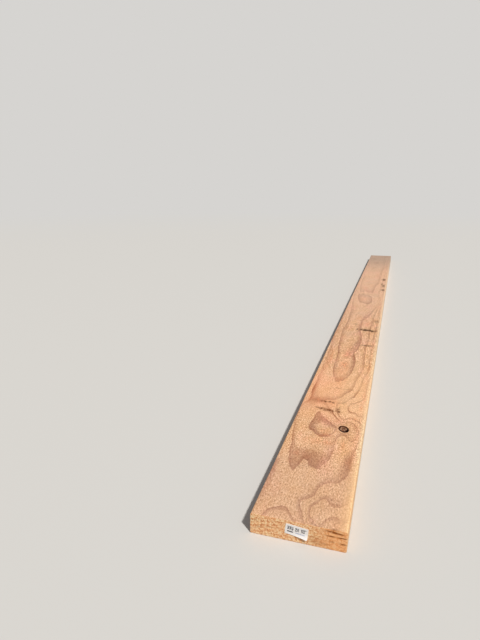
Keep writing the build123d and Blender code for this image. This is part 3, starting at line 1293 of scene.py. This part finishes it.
def carve_knot(piece):
    """Sinks the knot's dish, and the crescent where its bark has fallen out."""
    across, along, depth = vertex_places(piece)
    on_top = depth < 0.5
    u, v = knot_offset(across, along)
    half_across, half_along = KNOT_HALF_ACROSS - BARK_INSET, KNOT_HALF_ALONG - BARK_INSET
    rim = (1 - np.hypot(u / KNOT_HALF_ACROSS, v / KNOT_HALF_ALONG)) * KNOT_HALF_ACROSS
    dish = smooth_step(0.0, KNOT_DISH_SLOPE, rim) * on_top
    bark = np.hypot(u / half_across, v / half_along)
    kept = np.hypot((u + BARK_GAP_ACROSS) / half_across, (v - BARK_GAP_ALONG) / half_along)
    gap = smooth_step(1.02, 0.96, bark) * smooth_step(0.98, 1.05, kept) * on_top
    displace(piece, "knot dish", dish, -KNOT_DISH_DEPTH * MM, "Z")
    displace(piece, "bark gap", gap, (KNOT_DISH_DEPTH - BARK_GAP_DEPTH) * MM, "Z")


class TIMBER_OT_plank(bpy.types.Operator):
    """Models the plank, with its knot, raised grain, worn arrises and painted light on its right
    edge
    """

    bl_idname = "timber.plank"
    bl_label = "Plank"

    def execute(self, context):
        settings = context.scene.timber_plank
        piece = saw_stock(settings.arris_radius)
        piece.data.materials.append(make_dressed_timber(settings))
        piece.data.materials.append(make_end_grain(settings))
        # The first material is for the long faces and the second for the ends
        for face in piece.data.polygons:
            face.material_index = int(abs(face.normal.y) > 0.9)
        fold_bake_map(piece)
        raise_grain(piece, settings.grain_relief)
        carve_knot(piece)
        bpy.ops.object.shade_smooth_by_angle(angle=SMOOTH_ANGLE)
        finish_piece(piece, "timber", "plank")
        return {"FINISHED"}


# The tag and its staples


def make_tag_card(settings):
    material, nodes, shader, position = start_material("Tag Card")
    card = nodes.out("ShaderNodeUVMap", "UV", uv_map="card")
    x, y, _ = nodes.parts(card)

    def bar(low_x, high_x, low_y, high_y):
        """1 inside a rectangle on the card."""
        inside = nodes.between(x, low_x - PRINT_BLUR, low_x + PRINT_BLUR)
        inside = inside * nodes.between(x, high_x + PRINT_BLUR, high_x - PRINT_BLUR)
        inside = inside * nodes.between(y, low_y - PRINT_BLUR, low_y + PRINT_BLUR)
        return inside * nodes.between(y, high_y + PRINT_BLUR, high_y - PRINT_BLUR)

    blocks = sum(bar(left, left + BLOCK_WIDTH, BLOCK_BOTTOM, BLOCK_TOP) for left in BLOCKS)
    strokes = nodes.noise(nodes.joined(x * 1.1, y * 0.42, 3.0), 1.0, 1.0)
    bold = blocks * nodes.between(strokes, 0.43, 0.49)
    ticks = nodes.noise(nodes.joined(x * 2.3, 4.0, 0.0), 1.0, 1.0)
    small = bar(*DASHES) * nodes.between(ticks, 0.46, 0.5)
    dust = nodes.group("Handling Dust", position=position, amount=0.3)["Dust"]
    fibre = nodes.noise(position, 1400.0, 2.0)
    colour = nodes.layers(
        settings.card,
        (bold, settings.ink),
        (bar(*DARK_BAR), settings.ink),
        (small * 0.8, settings.fine_ink),
        (dust, tone(190, 178, 160)),
    )
    nodes.feed(shader.inputs["Base Color"], colour)
    nodes.feed(shader.inputs["Roughness"], nodes.between(fibre, 0.3, 0.7, 0.42, 0.56))
    nodes.feed(shader.inputs["Normal"], nodes.bump(fibre, 0.25, 0.05 * MM))
    lay_out(material.node_tree)
    return material


def round_corners(piece):
    """Pulls the square corners of the card in to rounds."""
    middle = Vector((TAG_WIDTH / 2 - TAG_CORNER, TAG_HEIGHT / 2 - TAG_CORNER))
    for vertex in piece.data.vertices:
        reach = Vector((abs(vertex.co.x) - middle.x, abs(vertex.co.y) - middle.y))
        if min(reach) > 0:
            rounded = reach * (max(reach) / reach.length)
            vertex.co.x = math.copysign(middle.x + rounded.x, vertex.co.x)
            vertex.co.y = math.copysign(middle.y + rounded.y, vertex.co.y)


def map_card(piece):
    """Gives each corner of the mesh its place on the flat card, in mm from the lower left."""
    card = piece.data.uv_layers.new(name="card")
    for loop in piece.data.loops:
        place = piece.data.vertices[loop.vertex_index].co
        card.data[loop.index].uv = (
            (place.x + TAG_WIDTH / 2) / MM,
            (place.y + TAG_HEIGHT / 2) / MM,
        )


def curl(piece):
    """Rolls the card outwards, +Z here, below its slanting curl line."""
    line = Vector((math.cos(CURL_LINE_TURN), math.sin(CURL_LINE_TURN), 0))
    down = Vector((line.y, -line.x, 0))
    start = Vector((0, CURL_LINE_UP, 0))
    for vertex in piece.data.vertices:
        past = (vertex.co - start).dot(down)
        if past > 0:
            radius = CURL_RADIUS - vertex.co.z
            vertex.co.z = CURL_RADIUS - math.sqrt(radius**2 - past**2)


class TIMBER_OT_tag(bpy.types.Operator):
    """Models the printed card on the end grain, curling off at its lower right"""

    bl_idname = "timber.tag"
    bl_label = "End Tag"

    def execute(self, context):
        bpy.ops.mesh.primitive_grid_add(x_subdivisions=60, y_subdivisions=30, size=1)
        piece = start_piece("curled_tag")
        bpy.ops.transform.resize(value=(TAG_WIDTH, TAG_HEIGHT, 1))
        bpy.ops.object.transform_apply(scale=True)
        round_corners(piece)
        map_card(piece)
        apply_modifier(piece, "SOLIDIFY", thickness=TAG_THICKNESS, offset=1.0)
        curl(piece)
        upright = Matrix.Rotation(math.radians(90), 4, "X")
        tilt = Matrix.Rotation(TAG_TILT, 4, "Z")
        piece.data.transform(Matrix.Translation(TAG_MIDDLE) @ upright @ tilt)
        piece.data.materials.append(make_tag_card(context.scene.timber_tag))
        bpy.ops.object.shade_smooth_by_angle(angle=SMOOTH_ANGLE)
        finish_piece(piece, "tag_card", "end_tag")
        return {"FINISHED"}


class TIMBER_OT_staples(bpy.types.Operator):
    """Gives the two packed staples their galvanised finish"""

    bl_idname = "timber.staples"
    bl_label = "Staples"

    def execute(self, context):
        settings = context.scene.timber_staples
        material, nodes, shader, position = start_material("Galvanised Wire")
        dust = nodes.group("Handling Dust", position=position, amount=0.4)["Dust"]
        spangle = nodes.noise(position, 2600.0, 2.0)
        colour = nodes.layers(
            settings.zinc,
            (spangle * 0.4, tone(128, 130, 134)),
            (dust, tone(150, 134, 116)),
        )
        nodes.feed(shader.inputs["Base Color"], colour)
        nodes.feed(shader.inputs["Roughness"], nodes.between(spangle, 0.3, 0.7, 0.3, 0.48))
        shader.inputs["Metallic"].default_value = 0.9
        lay_out(material.node_tree)
        for name in ("staple_left", "staple_right"):
            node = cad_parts[name]
            node.data.materials.clear()
            node.data.materials.append(material)
        return {"FINISHED"}


# The floor, the light and the camera


def lay_floor(settings):
    """A wide floor just under the plank, which fades into the background far away."""
    bpy.ops.mesh.primitive_circle_add(
        vertices=96, radius=FLOOR_RADIUS, fill_type="NGON", location=(0, 0, -FLOOR_DROP)
    )
    floor = start_piece("studio_floor")
    material, nodes, shader, position = start_material("Studio Floor")
    x, y, _ = nodes.parts(position)
    away = nodes.math("SQRT", x * x + y * y)
    fade = nodes.between(away, FADE_START, FADE_END)
    glow = nodes.node("ShaderNodeEmission", {"Color": settings.floor})
    seen = nodes.out("ShaderNodeLightPath", "Is Camera Ray")
    colour = nodes.mix(seen, settings.bounce, settings.floor)
    nodes.feed(shader.inputs["Base Color"], colour)
    shader.inputs["Roughness"].default_value = 0.9
    nodes.blend_shaders(fade, shader, glow, "Material Output")
    lay_out(material.node_tree)
    floor.data.materials.append(material)
    floor.select_set(False)


def light_sky(scene, settings):
    """Even light from all sides, where the camera sees only the floor's colour."""
    world = bpy.data.worlds.new("Studio")
    scene.world = world
    world.use_nodes = True
    nodes = Nodes(world.node_tree)
    light = world.node_tree.nodes["Background"]
    light.inputs["Color"].default_value = SKY_COLOUR
    light.inputs["Strength"].default_value = settings.sky_strength
    backdrop = nodes.node("ShaderNodeBackground", {"Color": settings.floor})
    seen = nodes.out("ShaderNodeLightPath", "Is Camera Ray")
    nodes.blend_shaders(seen, light, backdrop, "World Output")
    lay_out(world.node_tree)


def hang_key_light(strength):
    bpy.ops.object.light_add(type="SUN", location=TOWARDS_KEY * 5)
    key = bpy.context.active_object
    key.name = "key_light"
    key.data.energy = strength
    key.data.angle = KEY_ANGLE
    key.data.color = KEY_COLOUR
    key.rotation_euler = TOWARDS_KEY.to_track_quat("Z", "Y").to_euler()
    key.select_set(False)


def place_camera(scene):
    bpy.ops.object.camera_add(
        location=CAMERA_PLACE,
        rotation=(math.radians(90 - CAMERA_DOWN), 0, math.radians(CAMERA_LEFT)),
    )
    camera = bpy.context.active_object
    camera.name = "camera"
    camera.data.lens = CAMERA_LENS
    camera.data.sensor_width = SENSOR_WIDTH
    camera.data.clip_start = 0.01
    scene.camera = camera


class TIMBER_OT_stage(bpy.types.Operator):
    """Sets out the floor, the light and the camera"""

    bl_idname = "timber.stage"
    bl_label = "Stage"

    def execute(self, context):
        settings = context.scene.timber_stage
        lay_floor(settings)
        light_sky(context.scene, settings)
        hang_key_light(settings.key_strength)
        place_camera(context.scene)
        context.scene.view_settings.view_transform = "Standard"
        return {"FINISHED"}


# The panel and its parts


class TIMBER_PT_panel(bpy.types.Panel):
    """The plank's sizes and colours, and the buttons that build it"""

    bl_label = "Timber Plank"
    bl_idname = "TIMBER_PT_panel"
    bl_space_type = "VIEW_3D"
    bl_region_type = "UI"
    bl_category = "Timber Plank"

    def draw(self, context):
        for kind, settings_name, operator in PARTS:
            box = self.layout.box()
            settings = getattr(context.scene, settings_name)
            for key in kind.__annotations__:
                box.prop(settings, key)
            box.operator(operator)


PARTS = (
    (PlankSettings, "timber_plank", "timber.plank"),
    (TagSettings, "timber_tag", "timber.tag"),
    (StapleSettings, "timber_staples", "timber.staples"),
    (StageSettings, "timber_stage", "timber.stage"),
)
OPERATORS = (TIMBER_OT_plank, TIMBER_OT_tag, TIMBER_OT_staples, TIMBER_OT_stage)


def register():
    for kind, settings_name, _ in PARTS:
        bpy.utils.register_class(kind)
        setattr(bpy.types.Scene, settings_name, PointerProperty(type=kind))
    for operator in OPERATORS:
        bpy.utils.register_class(operator)
    bpy.utils.register_class(TIMBER_PT_panel)


def unregister():
    bpy.utils.unregister_class(TIMBER_PT_panel)
    for operator in reversed(OPERATORS):
        bpy.utils.unregister_class(operator)
    for kind, settings_name, _ in reversed(PARTS):
        delattr(bpy.types.Scene, settings_name)
        bpy.utils.unregister_class(kind)


def main():
    register()
    bpy.ops.object.select_all(action="DESELECT")
    # Later groups hold earlier ones
    make_plank_place_group()
    make_spot_group()
    make_growth_rings_group()
    make_wood_fibres_group()
    make_dead_knot_group()
    make_edge_wear_and_highlight_group()
    make_handling_dust_group()
    make_handling_marks_group()
    bpy.ops.timber.plank()
    bpy.ops.timber.tag()
    bpy.ops.timber.staples()
    bpy.ops.timber.stage()


if __name__ == "__main__":
    main()
